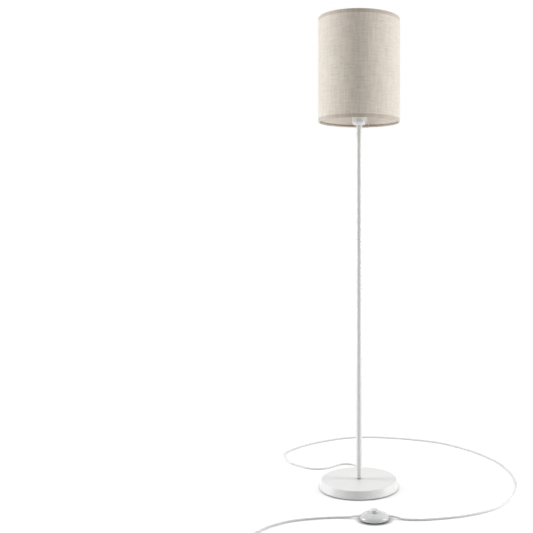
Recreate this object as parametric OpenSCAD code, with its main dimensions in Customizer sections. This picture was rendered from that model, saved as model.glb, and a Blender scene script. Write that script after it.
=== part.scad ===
// Column floor lamp: a round weighted base, a slim pole of three screwed tubes, a lampholder
// with a bulb, and a cylinder shade of linen-look fabric on a liner. Its lead leaves the back
// of the base, runs round the floor to a foot switch, and ends in a flat two-pin plug.
// Millimetres, +Z up. The origin is on the floor, on the axis of the pole.

/* [Base] */
// Diameter of the base at the floor
base_d = 212; // [190:1:260]
// Height of the base
base_h = 22; // [21:0.5:32]
// How far the side leans in, from floor to top
base_flare = 5; // [0:0.5:10]
// Rounding of the top edge
base_edge_r = 1.2; // [0.4:0.1:3]
// Sheet thickness of the pressed cover
cover_t = 1.5; // [1:0.1:2]
// Gap between the cover's lower edge and the floor
cover_lift = 1.5; // [0.8:0.1:1.9]
// Thickness of the felt pad underneath
pad_t = 2; // [1.5:0.1:2.2]
// How far the pad stays inside the base's edge
pad_inset = 8; // [7.6:0.1:30]
// Iron left over the nut pocket
web_t = 2; // [1.5:0.1:3]
// Diameter of the nut pocket in the weight
pocket_d = 36; // [34:1:60]

/* [Pole] */
// Diameter of the pole
pole_d = 16; // [15:0.5:22]
// Wall of the pole's tubes
pole_wall = 1.2; // [0.8:0.1:1.5]
// Length of each of the three tubes
section_l = 316; // [220:1:400]
// Height of the grey spacer ring under the pole
foot_ring_h = 4; // [2:0.5:8]
// Diameter of the spacer ring, thinner than the pole
foot_ring_d = 12.5; // [12:0.5:15]
// Length of the threaded bush in each end of a tube
bush_l = 14; // [8:1:30]
// Outside diameter of the threaded nipples
nipple_d = 10; // [9:0.5:11]
// Wall of the nipples
nipple_wall = 1; // [0.6:0.1:1.3]
// Height of the nut under the base
nut_h = 3.5; // [2.5:0.5:4]
// Width of the nut across its flats
nut_flats = 17; // [14:1:20]
// Diameter of the washer under the base
washer_d = 30; // [24:1:33]
// Thickness of the washer
washer_t = 1; // [0.8:0.1:1.5]

/* [Lampholder] */
// Diameter of the lampholder's cap
cap_d = 37; // [36:0.5:45]
// Height of the cap
cap_h = 30.5; // [29:0.5:40]
// Rounding of the cap's lower corner
cap_corner_r = 9; // [4:0.5:10]
// Wall of the cap and the skirt
holder_wall = 2; // [1.5:0.1:2.2]
// Diameter of the flange that carries the shade
flange_d = 47; // [44:0.5:49]
// Thickness of the flange
flange_t = 2.5; // [1.5:0.5:4]
// Diameter of the threaded barrel
barrel_d = 38; // [37:0.5:39.5]
// Height of the barrel over the flange
barrel_h = 32; // [26:0.5:34]
// Diameter of the ring that locks the shade down
lock_ring_d = 50; // [46:1:54]
// Height of the locking ring
lock_ring_h = 8; // [5:0.5:12]
// Bore of the brass screw shell
shell_bore = 26.8; // [26.6:0.1:27.2]

/* [Shade] */
// Diameter of the shade
shade_d = 220; // [180:1:300]
// Height of the shade
shade_h = 280; // [200:1:360]
// Thickness of the fabric
fabric_t = 0.7; // [0.4:0.1:1]
// Thickness of the liner behind the fabric
liner_t = 0.5; // [0.3:0.1:1]
// Diameter of the wire in the rolled rims
rim_wire_d = 4; // [3:0.5:5]
// Gap between a rolled rim and the liner's edge
liner_gap = 1.8; // [1:0.1:4]
// Height of the spider's hub over the shade's lower edge
hub_rise = 26; // [20:1:40]
// Diameter of the spokes
spoke_d = 2.5; // [2:0.1:3]
// Radius at which a spoke bends down to the rim
spoke_bend_r = 66; // [45:1:75]
// Angle of the first spoke from the front-to-back line
spoke_turn = 15; // [0:1:119]
// Hole in the spider's hub
hub_bore = 40; // [40:0.5:42]
// Diameter of the hub
hub_d = 56; // [55:1:62]
// Thickness of the hub
hub_t = 1.5; // [1:0.1:2.5]

/* [Bulb] */
// Diameter of the bulb's globe
globe_d = 60; // [50:1:80]
// Length of the bulb
bulb_l = 109; // [104:1:125]
// Diameter of the bulb's screw cap
bulb_cap_d = 26; // [25.6:0.1:26]
// Wall of the bulb's shells
bulb_wall = 1.2; // [0.8:0.1:2]

/* [Foot switch] */
// Diameter of the foot switch
switch_d = 70; // [68:1:84]
// Height of the switch's side before it domes
switch_side = 4; // [3.5:0.1:5]
// Rise of the dome over the side
dome_rise = 12; // [11.8:0.1:15]
// Wall of the switch's cover
switch_wall = 2; // [1.5:0.1:2.1]
// Height of the button's top over the floor
button_top = 22.5; // [21.5:0.5:28]
// Diameter of the button
button_d = 20; // [18:0.5:26]
// How far the button goes down
button_travel = 3.5; // [2:0.1:3.6]
// Rounding of the button's edge
button_edge_r = 2.2; // [0.8:0.1:3]
// Diameter of the stub that the cord enters by
stub_d = 7.6; // [7:0.1:8]
// How far the stub stands out of the switch
stub_l = 5; // [3:0.5:10]

/* [Cord and plug] */
// Diameter of the cord
cord_d = 5; // [4:0.1:5.4]
// Length of the tapered strain reliefs
relief_l = 24; // [20:1:40]
// Radius of the coil at the middle of its turns
coil_r = 27.5; // [24:0.5:30]
// Gap between the coil's turns
coil_gap = 0.5; // [0.45:0.05:1]
// Width of the plug
plug_w = 35.3; // [34:0.1:37]
// Thickness of the plug
plug_t = 13.7; // [12:0.1:15]
// Length of the plug's body
plug_l = 36; // [30:1:44]
// Diameter of the plug's pins
pin_d = 4; // [3.8:0.1:4.2]
// Length of the pins
pin_l = 19; // [15:0.5:22]
// Distance between the pins
pin_pitch = 19; // [17:0.1:20]

/* [Hidden] */
$fn = 96;
over = 1;         // how far a cut runs past a face
slip = 0.3;       // play of parts that slide or drop into each other
fine = 32;        // facets of a hull's own children
bead = 0.1;       // how much thicker a bent wire is at its bend

// Base: the cover leans in, so a wall's thickness is larger when measured level
lean = atan(base_flare / base_h);
cover_level = cover_t / cos(lean);
lead_z = cord_d / 2 + 3.5;
bend_r = base_h - cover_t - web_t - washer_t - nut_h - lead_z;
pad_r = base_d / 2 - pad_inset;
weight_gap = 0.5;           // between the weight and the cover's side
channel_play = 1;           // round the lead in the weight's channel
channel_w = cord_d + 2 * channel_play;
clamp_inset = 26;           // from the base's edge to the middle of the clamp
clamp_y = base_d / 2 - clamp_inset;
clamp_size = [24, 8];
clamp_screw_x = 8.5;
clamp_floor = pad_t + 0.1;
clamp_z = lead_z - cord_d / 2;
small_screw_d = 3;
small_head_d = 5.6;
small_head_h = 1.3;
small_screw_grip = 8;       // how far a clamp's screw goes into the weight
gland_inset = 7.4;          // from the base's edge to the gland's inner end
collar_d = 11;
collar_t = 3;
neck_d = 8.6;
rim_t = 1;                  // the gland's rim outside the cover
notch_l = 20;               // a cut that passes right through the cover's side
groove_w = 1.2;             // the rings cut in a strain relief
groove_d = cord_d + 1;      // what they leave round the cord

// Pole
pole_bore = pole_d - 2 * pole_wall;
foot_top = base_h + foot_ring_h;
pole_top = foot_top + 3 * section_l;
grip = bush_l - 2;          // how far a nipple screws into a bush
nipple_bore = nipple_d - 2 * nipple_wall;

// Lampholder
cap_top = pole_top + cap_h;
flange_top = cap_top + flange_t;
barrel_top = flange_top + barrel_h;
floor_t = 3;                // floor of the cap
boss_d = nipple_d + 6;
boss_h = 10;
sleeve_l = 8;               // how far the skirt screws into the cap
core_t = 6;                 // disc of the insulating core
core_z = cap_top - sleeve_l - core_t;
core_column = 5;
ledge_w = 2;                // step in the cap that carries the core
shell_wall = 0.4;
shell_lip = 1.5;            // turned in under the shell
shell_l = 26;
shell_z = core_z + core_t + core_column;
shell_d = shell_bore + 2 * shell_wall;
terminal_x = 9;
terminal_head = [6, 2.5];   // diameter and height
core_wire_d = 1.8;
lead_end = pole_top + boss_h + 1.5;
contact_h = 2;              // the middle contact, over the core
contact_tip_d = 7;

// Shade
shade_r = shade_d / 2;
shade_z = flange_top - hub_rise;
shade_top = shade_z + shade_h;
roll_r = rim_wire_d / 2 + fabric_t;
roll_x = shade_r - roll_r;  // radius of the rim wires' centres
liner_inset = 2 * roll_r + liner_gap;
glue_t = 0.3;               // film of adhesive between the liner and the fabric
liner_d = shade_d - 2 * fabric_t - 2 * glue_t;
spoke_lift = 2;             // how far a spoke stands up from the rolled rim
weld_in = 0.4;              // how far its end is sunk in the wire
hub_z = flange_top + hub_t / 2;

// Bulb
bulb_z = shell_z + contact_h + slip;
tip_h = 1;
tip_d = 9;
insulator_h = 3;
insulator_d = 12;           // where it meets the tip
bulb_cap_z = bulb_z + tip_h + insulator_h;
bulb_cap_l = 22;
bulb_cap_wall = 0.5;
neck_z = bulb_cap_z + bulb_cap_l;
bulb_neck_r = bulb_cap_d / 2 + 0.8;
globe_r = globe_d / 2;
globe_z = bulb_z + bulb_l - globe_r;
globe_cut = globe_z - 0.6 * globe_r;
globe_cut_r = 0.8 * globe_r;
neck_top = barrel_top + 2;
board_t = 1.6;
board_z = globe_cut - board_t;
skirt_bore_d = 2 * bulb_neck_r + 2;     // the holder's skirt clears the bulb's neck

// Foot switch
switch_at = [37, -229, 0];
switch_pad_t = 1.2;
plate_t = 2;
plate_z = switch_pad_t;
plate_top = plate_z + plate_t;
switch_r = switch_d / 2;
cover_z = plate_z + 0.4;
entry_z = 6;
button_wall = 2.2;
cell_play = 0.5;            // round the mechanism, inside the button
cell_d = button_d - 2 * button_wall - 2 * cell_play;
cell_h = 6;
cell_top = plate_top + cell_h;
collar_z = plate_top + cell_h + 0.6;    // underside of the guide round the button
guide_t = 2;
lip_w = 1.2;
lip_h = 1.5;
lip_z = collar_z - slip - lip_h;
stem_d = 4.8;
stem_z = cell_top - 1.2;
boss_r = switch_r - 9;
switch_boss_d = 6;
switch_screw_d = 2.5;
switch_screw_l = 7;
switch_head_d = 4.9;
switch_head_h = 1.2;
stub_end = switch_r + stub_l;
bush_x = switch_r - 5;      // inner end of the bush round each cord
sheath_end = 19.5;          // where the cord's sheath is stripped, inside
saddle_size = [5, 14];      // what the sheath is clamped on
clamp_t = 1.2;
terminal_screw_x = 16.2;
terminal_screw = [4, 2.2];  // diameter and height
contact_w = 5;
contact_t = 0.9;
contact_in = 0.6;           // how far a contact reaches into the mechanism
wire_d = 1.6;               // an insulated core
spring_d = 9.4;
spring_wire = 1;
pad_w = 7;                  // the rubber ring under the switch
pad_gap = 4;

// Plug: it lies flat, its pins towards +X
plug_at = [-142, -432, plug_t / 2];
plug_root_d = 10;
pin_root = 14;              // how far a pin reaches into the plug
pin_neck_d = pin_d - 1;     // its thinner part, in the plug and under its sleeve
sleeve_d = pin_d - 0.2;

// The cord
cord_r = cord_d / 2;
relief_tip_d = cord_d + 1.4;
cord_sides = 10;
cord_spacing = 36;

// The coil: in on the floor, up a layer where it turns back, and out on top
coil_at = [-233, -383];
coil_start = 150;
turns_in = 2;
turns_climb = 0.5;
turns_out = 1.75;
coil_turns = turns_in + turns_climb + turns_out;
coil_step = cord_d + coil_gap;
coil_rings = 24;
coil_sides = 6;
tie_t = 0.8;
tie_w = 8;
tie_slack = 0.3;
coil_z = cord_r + tie_t + tie_slack / 2;
coil_out_r = coil_r + coil_step * turns_in / 2;
coil_in_r = coil_out_r - coil_step * turns_in;
turn_back = turns_in + turns_climb / 2;

function coil_radius(t) =
    coil_out_r - coil_step * turns_in - coil_step * turns_climb / 2
    + coil_step * abs(t - turn_back);
function ease(x) = let (c = min(1, max(0, x))) c * c * (3 - 2 * c);
function coil_point(t) =
    let (a = coil_start + 360 * t, r = coil_radius(t))
    [coil_at[0] + r * cos(a), coil_at[1] + r * sin(a),
     coil_z + coil_step * ease((t - turns_in) / turns_climb)];
function unit(v) = v / norm(v);
function coil_heading(t) = unit(coil_point(t + 0.001) - coil_point(t - 0.001));
// A point straight on from turn t of the coil, by l
function coil_tail(t, l) =
    let (p = coil_point(t) + l * coil_heading(t)) [p[0], p[1], max(p[2], cord_r)];
COIL = concat(
    [coil_tail(0, -cord_d)],
    [for (i = [0 : coil_turns * coil_rings]) coil_point(i / coil_rings)],
    [coil_tail(coil_turns, cord_d)]);

// The cord's routes, as they lie on the floor
back_y = base_d / 2 + slip;
gland_end_y = back_y + rim_t + relief_l;
ROUTE_TO_SWITCH = [
    [0, back_y, lead_z], [0, gland_end_y, lead_z], [0, 147, 4.6], [-3, 166, 2.6],
    [-14, 184, cord_r], [-32, 194, cord_r], [-52, 191, cord_r], [-70, 176, cord_r],
    [-88, 157, cord_r], [-112, 146, cord_r], [-137, 149, cord_r], [-163, 165, cord_r],
    [-206, 209, cord_r], [-228, 276, cord_r], [-225, 308, cord_r],
    [-210, 339, cord_r], [-180, 378, cord_r], [-140, 416, cord_r], [-95, 447, cord_r],
    [-50, 470, cord_r], [20, 484, cord_r], [110, 472, cord_r],
    [170, 455, cord_r], [225, 434, cord_r], [275, 403, cord_r], [325, 353, cord_r],
    [365, 300, cord_r], [398, 240, cord_r], [420, 175, cord_r], [431, 100, cord_r],
    [429, 25, cord_r], [414, -42, cord_r], [384, -108, cord_r], [335, -172, cord_r],
    [255, -218, cord_r], [168, -240, cord_r], [126, -242, cord_r], [103, -238, 2.7],
    [88, -231.5, 4.9], [switch_at[0] + stub_end, switch_at[1], entry_z]];
ROUTE_FROM_SWITCH = [
    [switch_at[0] - stub_end, switch_at[1], entry_z], [-11, -229, 5.4], [-25, -228, 3.4],
    [-45, -227, cord_r],
    [-75, -229, cord_r], [-105, -234, cord_r], [-135, -241, cord_r], [-162, -250, cord_r],
    [-186, -265, cord_r], [-211, -286, cord_r], [-229, -310, cord_r], [-243, -332, cord_r],
    coil_tail(0, -22), coil_tail(0, -cord_d)];
ROUTE_TO_PLUG = [
    coil_tail(coil_turns, cord_d), [-227, -423, 6], [-203, -430, 3], [-180, -432, cord_r],
    [-162, -432, 3.8], [-150, -432, 6.1], plug_at];

// The least gap between the coil and itself, over points more than half a turn apart
coil_self_gap = min([
    for (i = [1 : len(COIL) - 2]) for (j = [i + coil_rings / 2 : len(COIL) - 2])
        norm(COIL[i] - COIL[j])]) - cord_d;
echo(coil_self_gap = coil_self_gap);

// A smooth curve through the points of a route, with a ring about every so many millimetres.
// It never dips below a cord that lies on the floor.
function curve_point(p, i, t) =
    let (a = p[max(i - 1, 0)], b = p[i], c = p[i + 1], d = p[min(i + 2, len(p) - 1)],
         q = 0.5 * (2 * b + (c - a) * t + (2 * a - 5 * b + 4 * c - d) * t * t
                    + (3 * b - a - 3 * c + d) * t * t * t))
    [q[0], q[1], max(q[2], cord_r)];
function curve(p, spacing) = concat(
    [for (i = [0 : len(p) - 2])
        let (n = max(1, round(norm(p[i + 1] - p[i]) / spacing)))
        for (k = [0 : n - 1]) curve_point(p, i, k / n)],
    [p[len(p) - 1]]);
function path_length(p) = len(p) < 2 ? 0 : length_from(p, 0);
function length_from(p, i) = i > len(p) - 2 ? 0 : norm(p[i + 1] - p[i]) + length_from(p, i + 1);
echo(to_switch = path_length(curve(ROUTE_TO_SWITCH, 10)),
     from_switch = path_length(curve(ROUTE_FROM_SWITCH, 10)),
     coil = path_length(COIL),
     to_plug = path_length(curve(ROUTE_TO_PLUG, 10)));

// ---- Shared shapes ----

module tube(d, bore, h) {
    difference() {
        cylinder(d = d, h = h);
        translate([0, 0, -over]) cylinder(d = bore, h = h + 2 * over);
    }
}

// A straight rod from one point to another
module rod(from, to, d) {
    v = to - from;
    translate(from)
        rotate([0, acos(v[2] / norm(v)), atan2(v[1], v[0])])
            cylinder(d = d, h = norm(v));
}

// One unbroken tube along a level path
module sweep(path, d, sides) {
    last = len(path) - 1;
    ring = [for (i = [0 : last])
        let (t = unit(path[min(i + 1, last)] - path[max(i - 1, 0)]),
             across = unit(cross(t, [0, 0, 1])),
             up = cross(across, t))
        [for (k = [0 : sides - 1])
            let (a = 360 * (k + 0.5) / sides)
            path[i] + d / 2 * (cos(a) * across + sin(a) * up)]];
    points = [for (r = ring) for (p = r) p];
    walls = [for (i = [0 : last - 1]) for (k = [0 : sides - 1])
        let (a = i * sides + k, b = i * sides + (k + 1) % sides)
        each [[a, a + sides, b], [b, a + sides, b + sides]]];
    ends = [for (k = [1 : sides - 2])
        each [[0, k, k + 1], [last * sides, last * sides + k + 1, last * sides + k]]];
    polyhedron(points = points, faces = concat(walls, ends), convexity = 10);
}

// Half a cup in section, its lower outer corner rounded
module cup_half(r, corner, h) {
    translate([0, corner]) square([r, h - corner]);
    square([r - corner, corner + over / 100]);
    translate([r - corner, corner]) circle(corner);
}

module round_rect(size, r) {
    translate([r, 0]) square([size[0] - 2 * r, size[1]]);
    translate([0, r]) square([size[0], size[1] - 2 * r]);
    for (x = [r, size[0] - r]) for (y = [r, size[1] - r]) translate([x, y]) circle(r);
}

// ---- Base ----

function side_r(z) = base_d / 2 - base_flare * z / base_h;

module base_cover() {
    arc_x = side_r(0) - (base_edge_r + sin(lean) * (base_h - base_edge_r)) / cos(lean);
    edge = [for (i = [0 : 6])
        let (a = lean + (90 - lean) * i / 6)
        [arc_x + base_edge_r * cos(a), base_h - base_edge_r + base_edge_r * sin(a)]];
    inside_h = base_h - cover_t;
    color("white") difference() {
        rotate_extrude() polygon(concat(
            [[0, cover_lift], [side_r(cover_lift), cover_lift]], edge, [[0, base_h]]));
        rotate_extrude() polygon([
            [0, 0], [side_r(0) - cover_level, 0],
            [side_r(inside_h) - cover_level, inside_h], [0, inside_h]]);
        cylinder(d = nipple_d + slip, h = base_h + over);
        gland_notch(neck_d);
    }
}

// The way for the cord's gland through the back, open underneath
module gland_notch(d) {
    inner_y = base_d / 2 - notch_l / 2;
    turned(inner_y, lead_z, d, d, notch_l);
    translate([-d / 2, inner_y, -over]) cube([d, notch_l, lead_z + over]);
}

module base_weight() {
    gap = cover_level + weight_gap;
    top = base_h - cover_t;
    pocket_top = top - web_t;
    collar_cut = collar_d + 2 * slip;
    collar_y = base_d / 2 - gland_inset - over;
    color("dimgray") difference() {
        rotate_extrude() polygon([
            [0, pad_t], [side_r(pad_t) - gap, pad_t], [side_r(top) - gap, top], [0, top]]);
        cylinder(d = nipple_d + slip, h = base_h);
        cylinder(d = pocket_d, h = pocket_top);
        translate([-channel_w / 2, 0, 0])
            cube([channel_w, base_d / 2, lead_z + channel_w / 2]);
        turned(collar_y, lead_z, collar_cut, collar_cut, notch_l);
        translate([-collar_cut / 2, collar_y, 0]) cube([collar_cut, notch_l, lead_z]);
        translate([-clamp_size[0] / 2 - slip, clamp_y - clamp_size[1] / 2 - slip, 0])
            cube([clamp_size[0] + 2 * slip, clamp_size[1] + 2 * slip, clamp_z]);
        for (x = [-1, 1]) translate([x * clamp_screw_x, clamp_y, clamp_z - over])
            cylinder(d = small_screw_d, h = small_screw_grip + 2 * over);
    }
}

module base_pad() {
    color("gray") cylinder(r = pad_r, h = pad_t);
}

module cord_clamp() {
    color("silver") difference() {
        translate([-clamp_size[0] / 2, clamp_y - clamp_size[1] / 2, clamp_floor])
            cube([clamp_size[0], clamp_size[1], clamp_z - clamp_floor]);
        small_screws();
    }
}

module small_screws() {
    for (x = [-1, 1]) translate([x * clamp_screw_x, clamp_y, clamp_floor]) {
        cylinder(d1 = small_head_d, d2 = small_screw_d, h = small_head_h);
        cylinder(d = small_screw_d, h = clamp_z - clamp_floor + small_screw_grip);
    }
}

module clamp_screws() {
    color("silver") small_screws();
}

module base_washer() {
    color("silver") translate([0, 0, base_h - cover_t - web_t - washer_t])
        tube(washer_d, nipple_d, washer_t);
}

module base_nut() {
    color("goldenrod") translate([0, 0, base_h - cover_t - web_t - washer_t - nut_h])
        difference() {
            cylinder(d = nut_flats / cos(30), h = nut_h, $fn = 6);
            translate([0, 0, -over]) cylinder(d = nipple_d, h = nut_h + 2 * over);
        }
}

module base_nipple() {
    z = base_h - cover_t - web_t - washer_t - nut_h;
    color("goldenrod") translate([0, 0, z]) tube(nipple_d, nipple_bore, foot_top + grip - z);
}

// The soft bush that the cord leaves by: a collar, a neck through the cover, and a taper
module cord_gland() {
    inner_y = base_d / 2 - gland_inset;
    neck_l = back_y - inner_y - collar_t;
    color("white") difference() {
        union() {
            turned(inner_y, lead_z, collar_d, collar_d, collar_t);
            turned(inner_y + collar_t, lead_z, neck_d, neck_d, neck_l);
            turned(back_y, lead_z, collar_d - 1, collar_d - 1, rim_t);
            turned(back_y + rim_t, lead_z, neck_d, relief_tip_d, relief_l);
        }
        turned(inner_y - over, lead_z, cord_d, cord_d, gland_inset + relief_l + 4 * over);
        for (i = [1 : 4]) translate([0, back_y + relief_l * i / 5, lead_z])
            rotate([-90, 0, 0]) tube(collar_d, groove_d, groove_w);
    }
}

// A round bar or cone that lies along +Y
module turned(y, z, d1, d2, l) {
    translate([0, y, z]) rotate([-90, 0, 0]) cylinder(d1 = d1, d2 = d2, h = l);
}

// The lead inside: along the channel in the weight, and up the pole to the lampholder
module inner_lead() {
    color("whitesmoke") {
        turned(bend_r, lead_z, cord_d, cord_d, back_y - bend_r);
        translate([0, bend_r, lead_z + bend_r]) rotate([90, 0, 90]) rotate([0, 0, 180])
            rotate_extrude(angle = 90) translate([bend_r, 0]) circle(d = cord_d);
        translate([0, 0, lead_z + bend_r]) cylinder(d = cord_d, h = lead_end - lead_z - bend_r);
    }
}

// ---- Pole ----

module foot_ring() {
    color([0.42, 0.42, 0.43]) translate([0, 0, base_h])
        tube(foot_ring_d, nipple_d + slip, foot_ring_h);
}

module pole_section(i) {
    color("white") translate([0, 0, foot_top + i * section_l])
        tube(pole_d, pole_bore, section_l);
}

module pole_bushes() {
    color("goldenrod") for (i = [0 : 2]) for (z = [0, section_l - bush_l])
        translate([0, 0, foot_top + i * section_l + z]) tube(pole_bore, nipple_d, bush_l);
}

module pole_nipples() {
    color("goldenrod") for (i = [1, 2])
        translate([0, 0, foot_top + i * section_l - grip]) tube(nipple_d, nipple_bore, 2 * grip);
}

module top_nipple() {
    color("goldenrod") translate([0, 0, pole_top - grip])
        tube(nipple_d, nipple_bore, grip + boss_h);
}

// ---- Lampholder ----

module holder_cap() {
    inner_r = cap_d / 2 - holder_wall;
    color("white") translate([0, 0, pole_top]) difference() {
        union() {
            rotate_extrude() difference() {
                cup_half(cap_d / 2, cap_corner_r, cap_h);
                translate([0, floor_t])
                    cup_half(inner_r - ledge_w, cap_corner_r - holder_wall, cap_h);
                translate([0, core_z - pole_top]) square([inner_r, cap_h]);
            }
            cylinder(d = boss_d, h = boss_h);
        }
        translate([0, 0, -over]) cylinder(d = nipple_d, h = cap_h);
    }
}

module holder_skirt() {
    bore_r = barrel_d / 2 - holder_wall - slip;
    color("white") difference() {
        union() {
            translate([0, 0, cap_top - sleeve_l])
                cylinder(d = cap_d - 2 * holder_wall, h = sleeve_l);
            translate([0, 0, cap_top]) cylinder(d = flange_d, h = flange_t);
            translate([0, 0, cap_top]) cylinder(d = barrel_d, h = flange_t + barrel_h);
        }
        translate([0, 0, cap_top - sleeve_l - over])
            cylinder(d = skirt_bore_d, h = sleeve_l + over + flange_t);
        translate([0, 0, flange_top - over]) cylinder(r = bore_r, h = barrel_h - over);
        translate([0, 0, cap_top]) cylinder(d = skirt_bore_d, h = flange_t + barrel_h + over);
    }
}

module holder_core() {
    color("tan") difference() {
        union() {
            translate([0, 0, core_z]) cylinder(d = cap_d - 2 * holder_wall - slip, h = core_t);
            translate([0, 0, core_z + core_t]) cylinder(d = shell_d, h = core_column);
        }
        for (x = [-1, 1]) translate([x * terminal_x, 0, core_z - over])
            cylinder(d = small_screw_d, h = core_t);
    }
}

module terminal_screws() {
    color("goldenrod") for (x = [-1, 1]) translate([x * terminal_x, 0, core_z]) {
        translate([0, 0, -terminal_head[1]]) cylinder(d = terminal_head[0], h = terminal_head[1]);
        cylinder(d = small_screw_d, h = core_t - over);
    }
}

module lead_cores() {
    color("sienna") for (x = [-1, 1])
        rod([x * core_wire_d / 2, 0, lead_end],
            [x * (terminal_x - terminal_head[0] / 2), 0, core_z - terminal_head[1] / 2],
            core_wire_d);
}

module screw_shell() {
    color("gold") {
        translate([0, 0, shell_z]) tube(shell_d, shell_bore, shell_l);
        translate([0, 0, shell_z]) tube(shell_d, shell_bore - 2 * shell_lip, shell_wall);
    }
}

module centre_contact() {
    color("gold") {
        translate([-contact_tip_d / 2, -contact_tip_d, shell_z])
            cube([contact_tip_d, 2 * contact_tip_d, shell_wall]);
        translate([0, 0, shell_z]) cylinder(d = contact_tip_d, h = contact_h);
    }
}

// Ribbed ring that screws down on the hub of the shade
module lock_ring() {
    ribs = 24;
    rib_d = 2.4;
    color("white") translate([0, 0, flange_top + hub_t]) linear_extrude(lock_ring_h)
        difference() {
            union() {
                circle(d = lock_ring_d - 2 * rib_d / 3);
                for (i = [0 : ribs - 1]) rotate((i + 0.5) * 360 / ribs)
                    translate([(lock_ring_d - rib_d) / 2, 0]) circle(d = rib_d);
            }
            circle(d = barrel_d);
        }
}

// ---- Shade ----

module rim_wire(z) {
    color("white") translate([0, 0, z])
        rotate_extrude() translate([roll_x, 0]) circle(d = rim_wire_d);
}

module spokes() {
    bend_z = shade_z + 2 * roll_r + spoke_lift;
    weld_z = shade_z + roll_r + rim_wire_d / 2 - weld_in;
    for (i = [0 : 2]) rotate(90 - spoke_turn - 120 * i) {
        rod([hub_d / 2 - 1, 0, hub_z], [spoke_bend_r, 0, hub_z], spoke_d);
        translate([spoke_bend_r, 0, hub_z]) sphere(d = spoke_d + bead, $fn = fine);
        rod([spoke_bend_r, 0, hub_z], [roll_x, 0, bend_z], spoke_d);
        translate([roll_x, 0, bend_z]) sphere(d = spoke_d + bead, $fn = fine);
        rod([roll_x, 0, weld_z], [roll_x, 0, bend_z], spoke_d);
    }
}

// A pressed hub with three spokes, each welded to the wire of the lower rim
module spider() {
    color("white") {
        spokes();
        translate([0, 0, flange_top]) tube(hub_d, hub_bore, hub_t);
    }
}

// Fabric wall, rolled round a wire at both ends, with a slit for each spoke
module shade_fabric() {
    color([0.72, 0.68, 0.62]) difference() {
        rotate_extrude() {
            translate([shade_r - fabric_t, shade_z + roll_r])
                square([fabric_t, shade_h - 2 * roll_r]);
            for (z = [shade_z + roll_r, shade_top - roll_r]) translate([roll_x, z])
                difference() {
                    circle(roll_r);
                    circle(d = rim_wire_d);
                }
        }
        for (i = [0 : 2]) rotate(90 - spoke_turn - 120 * i)
            translate([roll_x, 0, shade_z + roll_r]) cylinder(d = spoke_d, h = 2 * roll_r);
    }
}

module shade_liner() {
    color("ivory") translate([0, 0, shade_z + liner_inset])
        tube(liner_d, liner_d - 2 * liner_t, shade_h - 2 * liner_inset);
}

// ---- Bulb ----

module bulb_contact() {
    color("silver") translate([0, 0, bulb_z]) cylinder(d1 = contact_tip_d, d2 = tip_d, h = tip_h);
}

module bulb_insulator() {
    color([0.15, 0.15, 0.15]) translate([0, 0, bulb_z + tip_h])
        cylinder(d1 = insulator_d, d2 = bulb_cap_d - 2 * bulb_cap_wall, h = insulator_h);
}

module bulb_cap() {
    color("silver") translate([0, 0, bulb_cap_z])
        tube(bulb_cap_d, bulb_cap_d - 2 * bulb_cap_wall, bulb_cap_l);
}

module bulb_housing() {
    steps = 8;
    flare = [for (i = [0 : steps])
        let (s = i / steps)
        [bulb_neck_r + (globe_cut_r - bulb_neck_r) * ease(s),
         neck_top + (globe_cut - neck_top) * s]];
    seat_r = globe_cut_r - bulb_wall;
    web_z = board_z - bulb_wall;
    inner = [for (i = [steps - 2 : -1 : 0]) [flare[i][0] - bulb_wall, flare[i][1]]];
    color("white") rotate_extrude() polygon(concat(
        [[bulb_neck_r, neck_z]], flare,
        [[seat_r, globe_cut], [seat_r, board_z], [0, board_z], [0, web_z],
         [flare[steps - 1][0] - bulb_wall, web_z]],
        inner, [[bulb_neck_r - bulb_wall, neck_z]]));
}

module bulb_board() {
    color("silver") translate([0, 0, board_z])
        cylinder(r = globe_cut_r - bulb_wall - slip, h = board_t);
}

module bulb_globe() {
    color("whitesmoke") difference() {
        translate([0, 0, globe_z]) sphere(globe_r);
        translate([0, 0, globe_z]) sphere(globe_r - bulb_wall);
        translate([0, 0, globe_cut - globe_d]) cylinder(d = 2 * globe_d, h = globe_d);
    }
}

// ---- Foot switch ----

module dome_solid(r, rise, from) {
    rotate_extrude() polygon(concat(
        [[0, from], [r, from]],
        [for (a = [0 : 6 : 90]) [r * cos(a), switch_side + rise * sin(a)]]));
}

module switch_bosses(d, h) {
    for (a = [45 : 90 : 315]) rotate(a) translate([boss_r, 0, 0]) cylinder(d = d, h = h);
}

module switch_pad() {
    color([0.2, 0.2, 0.2]) translate(switch_at)
        tube(switch_d - 2 * pad_gap, switch_d - 2 * pad_gap - 2 * pad_w, switch_pad_t);
}

module switch_plate() {
    color("white") translate(switch_at) difference() {
        union() {
            translate([0, 0, plate_z]) cylinder(r = switch_r - switch_wall - slip, h = plate_t);
            at_saddles(plate_top) cube([saddle_size[0], saddle_size[1], entry_z - plate_top]);
        }
        for (x = [-1, 1]) {
            rod([x * (sheath_end - over), 0, entry_z], [x * bush_x, 0, entry_z], cord_d);
            rod([x * (bush_x - over), 0, entry_z], [x * switch_r, 0, entry_z], stub_d + slip);
        }
        translate([0, 0, -over]) switch_bosses(switch_screw_d, plate_top + 2 * over);
        translate([0, 0, plate_z]) switch_screw_heads();
    }
}

// A place by each of the two cords, inside the switch
module at_saddles(z) {
    for (x = [-1, 1])
        translate([x * (sheath_end + saddle_size[0] / 2) - saddle_size[0] / 2,
                   -saddle_size[1] / 2, z])
            children();
}

module switch_screw_heads() {
    for (a = [45 : 90 : 315]) rotate(a) translate([boss_r, 0, 0])
        cylinder(d1 = switch_head_d, d2 = switch_screw_d, h = switch_head_h);
}

module switch_screws() {
    color("silver") translate(switch_at) translate([0, 0, plate_z]) {
        switch_screw_heads();
        switch_bosses(switch_screw_d, switch_screw_l);
    }
}

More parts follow.
